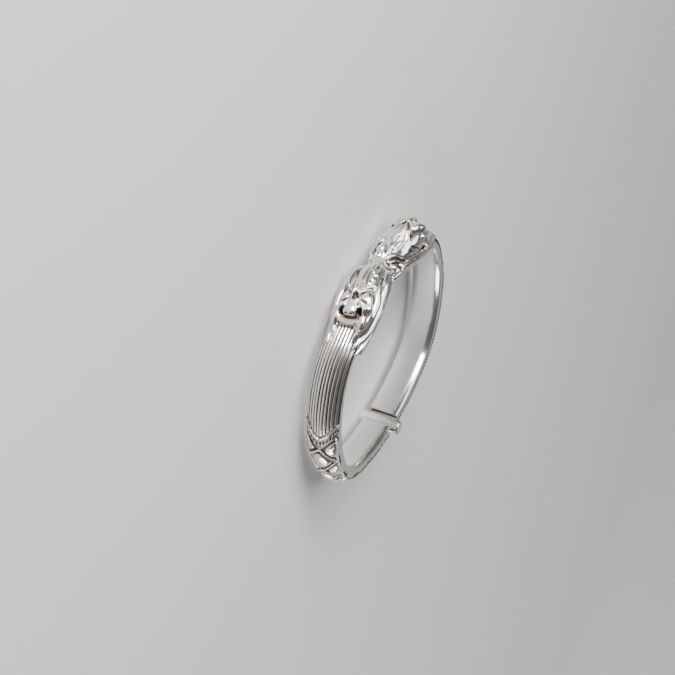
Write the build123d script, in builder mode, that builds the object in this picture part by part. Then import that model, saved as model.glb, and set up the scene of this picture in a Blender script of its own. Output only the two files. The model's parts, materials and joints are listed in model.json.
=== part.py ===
from build123d import *
from math import ceil, cos, exp, pi, radians, sin, sqrt
import os

os.makedirs("parts", exist_ok=True)

# Lion head bangle in millimetres. It lies on its side: +Z is the wrist's axis, +X the long way of the
# oval, and the gap between the two heads is at -Y. The origin is under the middle, on the floor.

# Wrist opening, an oval of twelve tangent arcs
wrist_length = 63.0
wrist_width = 51.5
corner_radius = 15.3
corner_start = 24.0
corner_end = 66.0

# Band
band_width = 8.5
band_thickness = 4.4
band_side = 2.5
seam = 0.2
row_step = 2.6

# Flutes
flute_count = 10
flute_depth = 0.38
flute_power = 0.7

# Collar
collar_tip = 44.2
collar_depth = 4.0
collar_rise = 0.75
collar_bead_count = 13
collar_bead_rise = 0.45
rim_power = 1.5

# Lattice
lattice_start = 48.0
lattice_cells = 5
pillow_rise = 0.65
rope_rise = 0.45

# Hinge barrel
barrel_radius = 2.1
barrel_length = 12.0
barrel_gap = 0.3
barrel_chamfer = 0.3

# Lion heads
head_gap = 0.6
head_width = 12.0
head_height = 8.0
chin_reach = 18.3
mane_reach = 23.6
mane_width = 10.2
mane_height = 3.4
lock_count = 3
lock_rise = 0.8
lock_wave = 1.1
curl_place = 3.0
curl_radius = 1.9
curl_rise = 0.8
curl_hole = 1.3
curl_hole_radius = 0.8

# Head sections: place along the head, half width and height, as shares of the chin's reach, of half
# the head's width and of the head's height
HEAD_SECTIONS = [
    # along, width, height
    (0.000, 0.52, 0.57),
    (0.045, 0.61, 0.69),
    (0.13, 0.71, 0.77),
    (0.30, 0.80, 0.82),
    (0.49, 0.88, 0.86),
    (0.62, 0.96, 0.89),
    (0.74, 1.00, 0.90),
    (0.86, 1.00, 0.82),
    (1.00, 0.97, 0.62),
]

# Powers that round the head's section, and those of its end line and of its widening to the mane
side_power = 0.85
top_power = 0.62
mane_power = 2.6
widening_power = 6

# How far the mane's outer edge turns back, how much of the relief stands out to the side, and over how
# much of the head the relief fades in and out, as shares
turn_back_share = 0.35
side_relief_share = 0.6
fade_in_share = 0.25
fade_out_share = 0.08

# Face: place along the head and to the side, spread along and to the side, and how far it is raised, as
# shares of the chin's reach, of the half girth, of the same two, and of the head's height
FACE_FORMS = [
    # name, along, side, spread along, spread side, raised
    ("brow_line", 0.630, 0.14, 0.025, 0.16, -0.05),
    ("brow_slot", 0.650, 0.00, 0.050, 0.04, -0.10),
    ("brow", 0.700, 0.26, 0.060, 0.14, 0.09),
    ("eye", 0.760, 0.32, 0.018, 0.08, -0.07),
    ("cheek", 0.815, 0.42, 0.060, 0.11, 0.06),
    ("mouth", 0.930, 0.00, 0.065, 0.24, -0.32),
    ("snout", 0.810, 0.00, 0.110, 0.13, 0.09),
    ("nose", 0.890, 0.00, 0.035, 0.11, 0.22),
    ("lower_lip", 0.995, 0.00, 0.020, 0.22, 0.05),
]

# Flank of the head across its half girth, as shares of it: where the mane's forms begin and how far on
# they have their full height, and the middle of the curl
flank_share = 0.36
flank_blend_share = 0.12
curl_share = 0.62

# Grids of the skins: rings along a head and columns round it, columns over a rib, and how many rings of
# the fine skins go to one of their bore
head_ring_count = 36
head_column_count = 40
rib_column_count = 4
bore_ring_count = 4

# Length under which two points are the same
tiny = 0.0001

# Slanting lines of one lattice pillow's grid, from its rope on, and how far the pillow is raised there,
# as shares of the pillow's side and rise
PILLOW_LINES = [
    # across, raised
    (0.00, 0.0),
    (0.09, 0.0),
    (0.28, 0.8),
    (0.50, 1.0),
    (0.72, 0.8),
    (0.91, 0.0),
]

# Collar profile: place from the flutes to the lattice, and raised height, as shares of the collar's
# length and rise; the beads stand on the rows that are marked
COLLAR_ROWS = [
    # along, raised, beads
    (0.00, 0.00, False),
    (0.03, 0.80, False),
    (0.11, 1.00, False),
    (0.19, 0.80, False),
    (0.25, 0.10, False),
    (0.32, 0.60, False),
    (0.38, 0.10, False),
    (0.46, 0.00, True),
    (0.57, 0.10, True),
    (0.68, 0.00, True),
    (0.75, 0.10, False),
    (0.83, 0.65, False),
    (0.91, 0.10, False),
    (1.00, 0.00, False),
]

# Derived sizes
band_half = band_width / 2
mane_half = mane_width / 2
crown_radius = (band_half**2 + (band_thickness - band_side) ** 2) / (2 * (band_thickness - band_side))
long_arc = radians(corner_start)
end_arc = radians(corner_end)
span_x = wrist_length / 2 - corner_radius * (sin(end_arc) - sin(long_arc))
span_y = wrist_width / 2 - corner_radius * (cos(long_arc) - cos(end_arc))
spread = sin(long_arc) * cos(end_arc) - (1 - sin(end_arc)) * (1 - cos(long_arc))
long_radius = (span_x * cos(end_arc) - span_y * (1 - sin(end_arc))) / spread
end_radius = (span_y * sin(long_arc) - span_x * (1 - cos(long_arc))) / spread
quarter = long_radius * long_arc + corner_radius * (end_arc - long_arc) + end_radius * (pi / 2 - end_arc)
lattice_end = 2 * quarter - barrel_radius - barrel_gap
lattice_pitch = (lattice_end - lattice_start) / lattice_cells
pillow_lines = len(PILLOW_LINES)


def ring(along):
    """Point of the opening's wall and turn of its outward direction, along the wall from the gap."""
    reach = min(along, 2 * quarter - along)
    long_run = long_radius * long_arc
    corner_run = corner_radius * (end_arc - long_arc)
    x_long = long_radius * sin(long_arc)
    y_long = -wrist_width / 2 + long_radius * (1 - cos(long_arc))
    x_corner = x_long + corner_radius * (sin(end_arc) - sin(long_arc))
    y_corner = y_long + corner_radius * (cos(long_arc) - cos(end_arc))
    if reach <= long_run:
        turn = reach / long_radius
        x = long_radius * sin(turn)
        y = -wrist_width / 2 + long_radius * (1 - cos(turn))
    elif reach <= long_run + corner_run:
        turn = long_arc + (reach - long_run) / corner_radius
        x = x_long + corner_radius * (sin(turn) - sin(long_arc))
        y = y_long + corner_radius * (cos(long_arc) - cos(turn))
    else:
        turn = end_arc + (reach - long_run - corner_run) / end_radius
        x = x_corner + end_radius * (sin(turn) - sin(end_arc))
        y = y_corner + end_radius * (cos(end_arc) - cos(turn))
    if along > quarter:
        return x, -y, pi - turn
    return x, y, turn


def front_reach():
    """How far the heads stand out over the middle of the opening, towards -Y."""
    reaches = []
    for along_share, width, height in HEAD_SECTIONS:
        x, y, turn = ring(along_share * chin_reach)
        reaches.append(head_height * height * cos(turn) - y)
    return max(reaches)


centre_shift = (front_reach() - wrist_width / 2 - band_thickness - pillow_rise) / 2


def place(along, side, height):
    """Point of the front half: along the wall from the gap, to the side, and out from the wall."""
    x, y, turn = ring(along)
    return Vector(x + height * sin(turn), y - height * cos(turn) + centre_shift, side + head_width / 2)


def share_of(table, at, column):
    """Value of a table's column at a place between its rows."""
    for before, after in zip(table, table[1:]):
        if at <= after[0]:
            share = (at - before[0]) / (after[0] - before[0])
            return before[column] + (after[column] - before[column]) * share
    return table[-1][column]


def crown(side):
    """Height of the band's rounded outer face."""
    return band_thickness - crown_radius + sqrt(crown_radius**2 - side**2)


def mane_line(side):
    """Where the head ends: the chin in the middle, the mane's tips at the band's sides."""
    share = min(abs(side) / (band_half + seam), 1)
    tip = max(abs(side) - band_half - seam, 0) / (mane_half - band_half - seam)
    return chin_reach + (mane_reach - chin_reach) * (share**mane_power - turn_back_share * tip**2)


def rim_line(side):
    """Rounded point where the flutes meet the collar."""
    return collar_tip - collar_depth * (abs(side) / band_half) ** rim_power


def lattice_line(side):
    """Straight-sided point where the collar meets the lattice."""
    return lattice_start - lattice_pitch / 2 * abs(side) / band_half


def between(start, end, share):
    return start + (end - start) * share


def facet(corners):
    return Face(Wire.make_polygon(corners, close=True))


def facets(corners):
    """Flat triangles over a four-cornered patch, leaving out any that has no area."""
    first, second, third, fourth = corners
    result = []
    for triangle in ((first, second, third), (first, third, fourth)):
        a, b, c = triangle
        if (b - a).cross(c - a).length > tiny**2:
            result.append(facet(triangle))
    return result


def skinned(rows, bore_step):
    """Closed solid from rows of paired points, outside and bore; the bore keeps each bore_step-th row."""
    faces = []
    for here, there in zip(rows, rows[1:]):
        for k in range(len(here) - 1):
            faces += facets((here[k][0], there[k][0], there[k + 1][0], here[k + 1][0]))
    # The first and last bore points that stand clear of the feet of the side walls
    first = 1 if (rows[0][1][1] - rows[0][0][0]).length > tiny else 2
    last = len(rows[0]) - 1 - first
    kept = list(range(0, len(rows) - 1, bore_step)) + [len(rows) - 1]
    for begin, end in zip(kept, kept[1:]):
        here, there = rows[begin], rows[end]
        for k in range(first, last):
            faces += facets((here[k][1], here[k + 1][1], there[k + 1][1], there[k][1]))
        for row, next_row in zip(rows[begin:end], rows[begin + 1 : end + 1]):
            faces.append(facet((here[first][1], next_row[0][0], row[0][0])))
            faces.append(facet((here[last][1], row[-1][0], next_row[-1][0])))
        faces.append(facet((here[first][1], there[first][1], there[0][0])))
        faces.append(facet((here[last][1], there[-1][0], there[last][1])))
    for row, flip in ((rows[0], False), (rows[-1], True)):
        below = [point[1] if first <= k <= last else point[0] for k, point in enumerate(row)]
        for k in range(1, first):
            below[k] = row[0][0]
            below[-1 - k] = row[-1][0]
        for k in range(len(row) - 1):
            corners = (below[k], row[k][0], row[k + 1][0], below[k + 1])
            faces += facets(corners[::-1] if flip else corners)
    return Solid(Shell(faces))


def fluted_rows():
    """Rows of the fluted band: its section is a rounded crown of ribs on two plain sides."""
    columns = flute_count * rib_column_count
    length = rim_line(0) - mane_line(0)
    row_count = ceil(length / row_step)
    rows = []
    for k in range(row_count + 1):
        share = k / row_count
        row = []
        for column in range(-1, columns + 2):
            inside = min(max(column, 0), columns)
            side = band_half * (2 * inside / columns - 1)
            rib = abs(sin(pi * inside / rib_column_count)) ** flute_power
            height = crown(side) - flute_depth * (1 - rib)
            if column != inside:
                height = 0
            start = mane_line(side) + seam
            along = between(start, rim_line(side) - seam / 2, share)
            row.append((place(along, side, height), place(along, side, 0)))
        rows.append(row)
    return rows


def collar_rows():
    """Rows of the collar: raised wires and a row of beads, all following its point."""
    columns = 2 * collar_bead_count
    rows = []
    for along_share, raised, beads in COLLAR_ROWS:
        row = []
        for column in range(-1, columns + 2):
            inside = min(max(column, 0), columns)
            side = band_half * (2 * inside / columns - 1)
            height = crown(side) + collar_rise * raised
            if beads:
                height += collar_bead_rise * (inside % 2)
            if column != inside:
                height = 0
            start = rim_line(side) + seam / 2
            along = between(start, lattice_line(side) - seam / 2, along_share)
            row.append((place(along, side, height), place(along, side, 0)))
        rows.append(row)
    return rows


def bump(distance):
    return exp(-(distance**4))


def face_relief(along, side_share):
    """How far the face's forms raise the head's skin."""
    raised = 0
    for name, centre, side, spread_along, spread_side, amount in FACE_FORMS:
        lengthwise = (along / chin_reach - centre) / spread_along
        for sign in (-1, 1) if side else (1,):
            sideways = (side_share - sign * side) / spread_side
            raised += head_height * amount * bump(sqrt(lengthwise**2 + sideways**2))
    return raised


def mane_relief(along, side_share):
    """Waved locks of the mane on the flanks, with a curl at the gap's end."""
    past = abs(side_share) - flank_share
    flank = min(max(past / flank_blend_share, 0), 1)
    wave = lock_wave * sin(2 * pi * along / mane_reach) / head_height
    locks = lock_rise * flank * (abs(cos(pi * lock_count * (past / (1 - flank_share) + wave))) - 0.5)
    across = (abs(side_share) - curl_share) * (head_height + head_width / 2)
    distance = sqrt((along - curl_place) ** 2 + across**2)
    curl = curl_rise * bump(distance / curl_radius) - curl_hole * bump(distance / curl_hole_radius)
    return locks * (1 - bump(distance / curl_radius)) + curl


def head_rows():
    """Rows of a lion head, from the gap to the chin and the mane's tips."""
    rows = []
    for k in range(head_ring_count + 1):
        share = k / head_ring_count
        row = []
        for column in range(head_column_count + 1):
            girth = 2 * column / head_column_count - 1
            angle = girth * pi / 2
            side_share = (abs(sin(angle)) ** side_power) * (1 if girth > 0 else -1)
            rise_share = max(cos(angle), 0) ** top_power
            along = between(head_gap / 2, mane_line(mane_half * side_share), share)
            head_share = along / chin_reach
            half = head_width / 2 * share_of(HEAD_SECTIONS, head_share, 1)
            height = head_height * share_of(HEAD_SECTIONS, head_share, 2)
            past = max(head_share - 1, 0) * chin_reach / (mane_reach - chin_reach)
            half = between(half, mane_half, share**widening_power)
            height = between(height, mane_height, past)
            relief = face_relief(along, girth) + mane_relief(along, girth)
            relief *= sqrt(min(share / fade_in_share, 1)) * min((1 - share) / fade_out_share, 1)
            side = half * side_share + relief * sin(angle) * side_relief_share
            side = min(max(side, -head_width / 2), head_width / 2)
            out = max(height * rise_share + relief * cos(angle), 0)
            row.append((place(along, side, out), place(along, half * side_share, 0)))
        rows.append(row)
    return rows


def lattice_point(i, j):
    """Point of the lattice's outside, where two slanting lines of its grid cross."""
    first, first_raised = PILLOW_LINES[i % pillow_lines]
    second, second_raised = PILLOW_LINES[j % pillow_lines]
    first += i // pillow_lines
    second += j // pillow_lines
    along = lattice_start + seam / 2 + (first + second) * lattice_pitch / 2
    side = band_half * (first - second)
    on_rope = i % pillow_lines == 0 or j % pillow_lines == 0 or abs(i - j) == pillow_lines
    raised = rope_rise if on_rope else pillow_rise * sqrt(first_raised * second_raised)
    return place(along, side, crown(side) + raised), place(along, side, 0)


def lattice_solid():
    """Quilted stretch of the band: slanting ropes cross between raised pillows."""
    last = 2 * lattice_cells * pillow_lines
    nodes = {}
    for i in range(-pillow_lines, last + pillow_lines + 1):
        for j in range(-pillow_lines, last + pillow_lines + 1):
            if abs(i - j) <= pillow_lines and max(i, j) >= 0 and i + j <= last:
                nodes[i, j] = lattice_point(i, j)
    faces = []
    for i, j in nodes:
        corners = ((i, j), (i, j + 1), (i + 1, j + 1), (i + 1, j))
        present = [nodes[corner][0] for corner in corners if corner in nodes]
        if len(present) == 4:
            faces += facets(present)
        elif len(present) == 3:
            faces.append(facet(present))
    # Side walls, and the point's wall from the skin down to the bore
    side_count = (last - pillow_lines) // 2
    upper = [nodes[k + pillow_lines, k] for k in range(-pillow_lines, side_count + 1)]
    lower = [nodes[k, k + pillow_lines] for k in range(-pillow_lines, side_count + 1)]
    tip = nodes[0, 0][1]
    for k in range(len(upper) - 1):
        faces += facets((upper[k][0], upper[k][1], upper[k + 1][1], upper[k + 1][0]))
        faces += facets((lower[k][0], lower[k + 1][0], lower[k + 1][1], lower[k][1]))
    for k in range(-pillow_lines, 0):
        faces.append(facet((tip, nodes[0, k][0], nodes[0, k + 1][0])))
        faces.append(facet((tip, nodes[k + 1, 0][0], nodes[k, 0][0])))
    faces.append(facet((tip, upper[0][1], upper[0][0])))
    faces.append(facet((tip, lower[0][0], lower[0][1])))
    # Bore: a fan from the point's tip to the first station past it, then bands straight across
    tip_index = pillow_lines // 2 + 1
    for k in range(tip_index):
        faces.append(facet((tip, upper[k + 1][1], upper[k][1])))
        faces.append(facet((tip, lower[k][1], lower[k + 1][1])))
    faces.append(facet((tip, lower[tip_index][1], upper[tip_index][1])))
    for k in range(tip_index, len(upper) - 1):
        faces += facets((upper[k][1], lower[k][1], lower[k + 1][1], upper[k + 1][1]))
    # Flat end at the hinge
    first = (last - pillow_lines) // 2
    skin_end = [nodes[last - k, k][0] for k in range(first, first + pillow_lines + 1)]
    faces.append(facet([upper[-1][1]] + skin_end + [lower[-1][1]]))
    return Solid(Shell(faces))


with BuildPart() as lion_head_front:
    add(skinned(head_rows(), bore_ring_count))
lion_head_front.part.label = "lion_head_front"

with BuildPart() as fluted_band_front:
    add(skinned(fluted_rows(), 1))
fluted_band_front.part.label = "fluted_band_front"

with BuildPart() as collar_front:
    add(skinned(collar_rows(), bore_ring_count))
collar_front.part.label = "collar_front"

with BuildPart() as lattice_band_front:
    add(lattice_solid())
lattice_band_front.part.label = "lattice_band_front"

with BuildPart() as lion_head_back:
    mirror(lion_head_front.part, about=Plane.YZ)
lion_head_back.part.label = "lion_head_back"

with BuildPart() as fluted_band_back:
    mirror(fluted_band_front.part, about=Plane.YZ)
fluted_band_back.part.label = "fluted_band_back"

with BuildPart() as collar_back:
    mirror(collar_front.part, about=Plane.YZ)
collar_back.part.label = "collar_back"

with BuildPart() as lattice_band_back:
    mirror(lattice_band_front.part, about=Plane.YZ)
lattice_band_back.part.label = "lattice_band_back"

barrel_centre = place(2 * quarter, 0, barrel_radius)
with BuildPart() as hinge_barrel:
    with BuildSketch(Plane.XY.offset((head_width - barrel_length) / 2)):
        with Locations((0, barrel_centre.Y)):
            Circle(barrel_radius)
    extrude(amount=barrel_length)
    chamfer(hinge_barrel.edges().filter_by(GeomType.CIRCLE), barrel_chamfer)
hinge_barrel.part.label = "hinge_barrel"

halves = [lion_head_front, fluted_band_front, collar_front, lattice_band_front]
halves += [lion_head_back, fluted_band_back, collar_back, lattice_band_back]
for piece in halves + [hinge_barrel]:
    export_step(piece.part, f"parts/{piece.part.label}.step")
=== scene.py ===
import json
from itertools import product
from math import cos, pi, radians, sin

import bpy
import numpy as np
from mathutils import Matrix, Vector

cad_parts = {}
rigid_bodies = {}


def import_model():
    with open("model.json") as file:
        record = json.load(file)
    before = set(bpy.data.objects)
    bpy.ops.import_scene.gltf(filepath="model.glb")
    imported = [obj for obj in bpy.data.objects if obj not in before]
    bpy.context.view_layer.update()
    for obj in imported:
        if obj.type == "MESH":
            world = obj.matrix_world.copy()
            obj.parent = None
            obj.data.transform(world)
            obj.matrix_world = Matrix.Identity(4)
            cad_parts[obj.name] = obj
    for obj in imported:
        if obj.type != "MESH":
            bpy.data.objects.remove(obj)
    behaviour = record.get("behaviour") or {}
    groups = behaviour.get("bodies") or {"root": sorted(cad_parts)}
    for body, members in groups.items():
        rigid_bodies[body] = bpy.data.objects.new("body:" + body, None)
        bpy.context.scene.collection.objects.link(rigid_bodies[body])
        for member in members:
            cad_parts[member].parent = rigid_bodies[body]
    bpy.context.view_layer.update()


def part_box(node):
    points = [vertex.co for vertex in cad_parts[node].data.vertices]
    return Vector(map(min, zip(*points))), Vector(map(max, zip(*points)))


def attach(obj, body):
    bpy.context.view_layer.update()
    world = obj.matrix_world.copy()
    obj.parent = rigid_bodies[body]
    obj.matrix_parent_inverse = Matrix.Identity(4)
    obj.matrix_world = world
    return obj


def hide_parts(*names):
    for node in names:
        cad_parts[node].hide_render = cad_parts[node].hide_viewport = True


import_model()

# Sizes in millimetres, the same as the solids'
MM = 0.001
WRIST_LENGTH = 63.0
WRIST_WIDTH = 51.5
CORNER_RADIUS = 15.3
CORNER_START = radians(24)
CORNER_END = radians(66)
BAND_HALF = 4.25
BAND_THICKNESS = 4.4
BAND_SIDE = 2.5
SEAM = 0.2
FLUTE_COUNT = 10
FLUTE_DEPTH = 0.42
COLLAR_TIP = 44.2
COLLAR_DEPTH = 4.0
LATTICE_START = 48.0
LATTICE_CELLS = 5
HINGE_CLEAR = 2.4
HEAD_GAP = 0.6
HEAD_HALF = 6.0
CHIN_REACH = 18.3
MANE_REACH = 23.6

# Camera, as the photograph sees the bangle: in radians, millimetres and pixels
CAMERA_RISE = 0.302
CAMERA_TURN = 0.7444
CAMERA_ROLL = 1.8811
CAMERA_DISTANCE = 300.0
PIXELS_PER_MM = 3.755
IMAGE_SIDE = 675
RING_CENTRE_PIXEL = (379.76, 351.88)
SENSOR = 36.0

# The oval's arcs over a quarter of it, from the gap: half a long side, a corner and half an end
SPAN_X = WRIST_LENGTH / 2 - CORNER_RADIUS * (sin(CORNER_END) - sin(CORNER_START))
SPAN_Y = WRIST_WIDTH / 2 - CORNER_RADIUS * (cos(CORNER_START) - cos(CORNER_END))
SPREAD = sin(CORNER_START) * cos(CORNER_END) - (1 - sin(CORNER_END)) * (1 - cos(CORNER_START))
LONG_RADIUS = (SPAN_X * cos(CORNER_END) - SPAN_Y * (1 - sin(CORNER_END))) / SPREAD
END_RADIUS = (SPAN_Y * sin(CORNER_START) - SPAN_X * (1 - cos(CORNER_START))) / SPREAD
ARCS = [
    # radius, and turns at its start and its end
    (LONG_RADIUS, 0.0, CORNER_START),
    (CORNER_RADIUS, CORNER_START, CORNER_END),
    (END_RADIUS, CORNER_END, pi / 2),
]
QUARTER = sum(radius * (last - first) for radius, first, last in ARCS)
LATTICE_END = 2 * QUARTER - HINGE_CLEAR
LATTICE_PITCH = (LATTICE_END - LATTICE_START) / LATTICE_CELLS
CROWN_RISE = BAND_THICKNESS - BAND_SIDE
CROWN_RADIUS = (BAND_HALF**2 + CROWN_RISE**2) / (2 * CROWN_RISE)
# The barrel touches the opening's far wall, and its middle is as high as the band's
barrel_low, barrel_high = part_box("hinge_barrel")
CENTRE_SHIFT = barrel_low[1] / MM - WRIST_WIDTH / 2
MIDDLE_RISE = (barrel_low[2] + barrel_high[2]) / 2 / MM


# Places along the band
def ring(along):
    """Points of the opening's wall and turns of its outward direction, along the wall from the gap."""
    reach = np.minimum(along, 2 * QUARTER - along)
    x, y, turn = np.zeros((3, *reach.shape))
    before, start_x, start_y = 0.0, 0.0, -WRIST_WIDTH / 2
    for radius, first, last in ARCS:
        past = reach >= before
        here = first + (reach - before) / radius
        x = np.where(past, start_x + radius * (np.sin(here) - sin(first)), x)
        y = np.where(past, start_y + radius * (cos(first) - np.cos(here)), y)
        turn = np.where(past, here, turn)
        before += radius * (last - first)
        start_x += radius * (sin(last) - sin(first))
        start_y += radius * (cos(first) - cos(last))
    far = along > QUARTER
    return x, np.where(far, -y, y), np.where(far, pi - turn, turn)


def place(along, side, height, hand):
    """World points, in metres, of places along the band, to the side and out from the opening's wall."""
    x, y, turn = ring(along)
    world_x = (x + height * np.sin(turn)) * hand
    world_y = y - height * np.cos(turn) + CENTRE_SHIFT
    return np.stack([world_x, world_y, side + MIDDLE_RISE + 0 * x], axis=-1) * MM


def crown(side):
    """Height of the band's rounded outer face."""
    return BAND_THICKNESS - CROWN_RADIUS + np.sqrt(CROWN_RADIUS**2 - side**2)


# Carving by distance fields: a block of clay that forms are added to and cut from
FAR = 4.0
MARGIN_CELLS = 4
LEAST_BLEND_CELLS = 2.2


class Clay:
    """Grid of distances in a straightened head: along the band, to the side and out from the wall."""

    def __init__(self, low, high, step):
        self.low = np.array(low, dtype=float)
        self.step = step
        counts = np.ceil((np.array(high) - self.low) / step).astype(int) + 1
        self.axes = [self.low[k] + step * np.arange(counts[k]) for k in range(3)]
        self.field = np.full(counts, FAR, dtype=np.float32)

    def window(self, low, high):
        """Slices of the grid that a box covers, and the box's coordinates."""
        slices = []
        for k in range(3):
            first = int(np.clip(np.floor((low[k] - self.low[k]) / self.step), 0, len(self.axes[k])))
            last = int(np.clip(np.ceil((high[k] - self.low[k]) / self.step) + 1, first, len(self.axes[k])))
            slices.append(slice(first, last))
        grids = np.meshgrid(*[self.axes[k][slices[k]] for k in range(3)], indexing="ij", sparse=True)
        return tuple(slices), grids

    def merge(self, distance, low, high, blend, cut=False):
        """Adds or cuts a form, given as a function of the three coordinates, with a rounded joint."""
        reach = blend + MARGIN_CELLS * self.step
        slices, grids = self.window([v - reach for v in low], [v + reach for v in high])
        here = self.field[slices]
        if here.size == 0:
            return
        there = distance(*grids).astype(np.float32)
        self.field[slices] = -soft_least(-here, there, blend) if cut else soft_least(here, there, blend)


def soft_least(a, b, blend):
    """Smaller of two distances, rounded where they are close."""
    share = np.maximum(blend - np.abs(a - b), 0) / blend
    return np.minimum(a, b) - share * share * blend / 4


def ball(clay, centre, radii, blend=0.3, cut=False, turn=0.0, lean=0.0):
    """Ellipsoid; turn swings it in the plane of the face, lean tips it towards the side."""
    centre = np.array(centre, dtype=float)
    radii = np.array(radii, dtype=float)
    cos_t, sin_t = cos(turn), sin(turn)
    cos_l, sin_l = cos(lean), sin(lean)

    def distance(s, z, h):
        ds, dz, dh = s - centre[0], z - centre[1], h - centre[2]
        a = ds * cos_t + dz * sin_t
        b = -ds * sin_t + dz * cos_t
        b, c = b * cos_l + dh * sin_l, -b * sin_l + dh * cos_l
        unit = np.sqrt((a / radii[0]) ** 2 + (b / radii[1]) ** 2 + (c / radii[2]) ** 2)
        slope = np.sqrt((a / radii[0] ** 2) ** 2 + (b / radii[1] ** 2) ** 2 + (c / radii[2] ** 2) ** 2)
        return unit * (unit - 1) / np.maximum(slope, 1e-6)

    reach = radii.max()
    clay.merge(distance, centre - reach, centre + reach, blend, cut)


def block(clay, centre, half, corner, blend, turn=0.0):
    """Block with rounded corners, swung in the plane of the face."""
    centre = np.array(centre, dtype=float)

    def distance(s, z, h):
        ds, dz, dh = s - centre[0], z - centre[1], h - centre[2]
        swung = (ds * cos(turn) + dz * sin(turn), -ds * sin(turn) + dz * cos(turn), dh)
        gaps = [np.abs(v) - (r - corner) for v, r in zip(swung, half)]
        outside = np.sqrt(sum(np.maximum(gap, 0) ** 2 for gap in gaps))
        inside = np.minimum(np.maximum(np.maximum(gaps[0], gaps[1]), gaps[2]), 0)
        return outside + inside - corner

    reach = np.hypot(half[0], half[1])
    clay.merge(distance, centre - (reach, reach, half[2]), centre + (reach, reach, half[2]), blend)


def curve(points, count):
    """Smooth curve through control points, each with its place and radius."""
    points = np.array(points, dtype=float)
    padded = np.vstack([2 * points[0] - points[1], points, 2 * points[-1] - points[-2]])
    result = []
    for a, b, c, d in zip(padded, padded[1:], padded[2:], padded[3:]):
        bend = 2 * a - 5 * b + 4 * c - d
        twist = 3 * b - a - 3 * c + d
        for t in np.linspace(0, 1, count, endpoint=False):
            result.append(0.5 * (2 * b + (c - a) * t + bend * t**2 + twist * t**3))
    result.append(points[-1])
    return np.array(result)


def strand(clay, points, blend=0.08, cut=False, count=5):
    """Tapered round strand through control points of place and radius."""
    blend = max(blend, LEAST_BLEND_CELLS * clay.step)
    path = curve(points, count)
    reach = path[:, 3].max() + blend + MARGIN_CELLS * clay.step
    low, high = path[:, :3].min(axis=0) - reach, path[:, :3].max(axis=0) + reach
    whole, _ = clay.window(low, high)
    own = np.full(clay.field[whole].shape, FAR, dtype=np.float32)
    for start, end in zip(path, path[1:]):
        run = end[:3] - start[:3]
        length = max(float(run @ run), 1e-9)
        low, high = np.minimum(start[:3], end[:3]) - reach, np.maximum(start[:3], end[:3]) + reach
        part, (s, z, h) = clay.window(low, high)
        ds, dz, dh = s - start[0], z - start[1], h - start[2]
        share = np.clip((ds * run[0] + dz * run[1] + dh * run[2]) / length, 0, 1)
        away = (ds - share * run[0]) ** 2 + (dz - share * run[1]) ** 2 + (dh - share * run[2]) ** 2
        distance = np.sqrt(away) - (start[3] + share * (end[3] - start[3]))
        inner = tuple(slice(p.start - w.start, p.stop - w.start) for p, w in zip(part, whole))
        own[inner] = np.minimum(own[inner], distance)
    here = clay.field[whole]
    clay.field[whole] = -soft_least(-here, own, blend) if cut else soft_least(here, own, blend)


# Skin of the clay: corners of a grid cell, and its edges as pairs of corners
CORNERS = np.array(list(product((0, 1), repeat=3)))
EDGES = [(a, b) for a in range(8) for b in range(a + 1, 8) if abs(CORNERS[a] - CORNERS[b]).sum() == 1]
# Steps of smoothing, of the skin's places and of its recesses
SKIN_SMOOTHING = (0.6, -0.62) * 3
RECESS_SMOOTHING = (0.5,) * 8
# Recesses are measured over two widths, each with the sinking that counts as whole
RECESS_WIDTHS = [(0.28, 0.16), (0.8, 0.42)]


def softened(field):
    """Field averaged a little along each axis."""
    for axis in range(3):
        ahead = np.roll(field, -1, axis)
        behind = np.roll(field, 1, axis)
        field = 0.5 * field + 0.25 * (ahead + behind)
    return field


def box_blur(values, radius):
    """Running mean along all three axes, twice."""
    width = 2 * radius + 1
    for axis in (0, 1, 2) * 2:
        before = np.repeat(values.take([0], axis), radius + 1, axis)
        after = np.repeat(values.take([-1], axis), radius, axis)
        total = np.cumsum(np.concatenate([before, values, after], axis), axis=axis, dtype=np.float64)
        upper = total.take(range(width, total.shape[axis]), axis)
        lower = total.take(range(0, total.shape[axis] - width), axis)
        values = ((upper - lower) / width).astype(np.float32)
    return values


def relaxed(points, quads, strengths):
    """Points drawn towards their neighbours' mean by each strength in turn, or away from it."""
    pairs = np.concatenate([quads[:, [k, (k + 1) % 4]] for k in range(4)])
    here, beside = np.concatenate([pairs, pairs[:, ::-1]]).T
    counts = np.bincount(here, minlength=len(points))[:, None]
    for strength in strengths:
        sums = [np.bincount(here, weights=column[beside], minlength=len(points)) for column in points.T]
        points = points + strength * (np.stack(sums, axis=1) / counts - points)
    return points


def crossed_cells(field):
    """Grid cells that the skin crosses, the skin's mean place within each, and the cells' numbers."""
    inside = field < 0
    size = np.array(field.shape) - 1
    filled = np.zeros(size, dtype=np.int8)
    for i, j, k in CORNERS:
        filled += inside[i : i + size[0], j : j + size[1], k : k + size[2]]
    active = (filled > 0) & (filled < 8)
    cells = np.argwhere(active)
    number = np.full(size, -1, dtype=np.int32)
    number[active] = np.arange(len(cells))
    total = np.zeros((len(cells), 3))
    hits = np.zeros(len(cells))
    values = [field[tuple((cells + corner).T)] for corner in CORNERS]
    for a, b in EDGES:
        crosses = (values[a] < 0) != (values[b] < 0)
        share = values[a][crosses] / (values[a][crosses] - values[b][crosses])
        total[crosses] += CORNERS[a] + share[:, None] * (CORNERS[b] - CORNERS[a])
        hits[crosses] += 1
    return cells, total / hits[:, None], number


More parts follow.
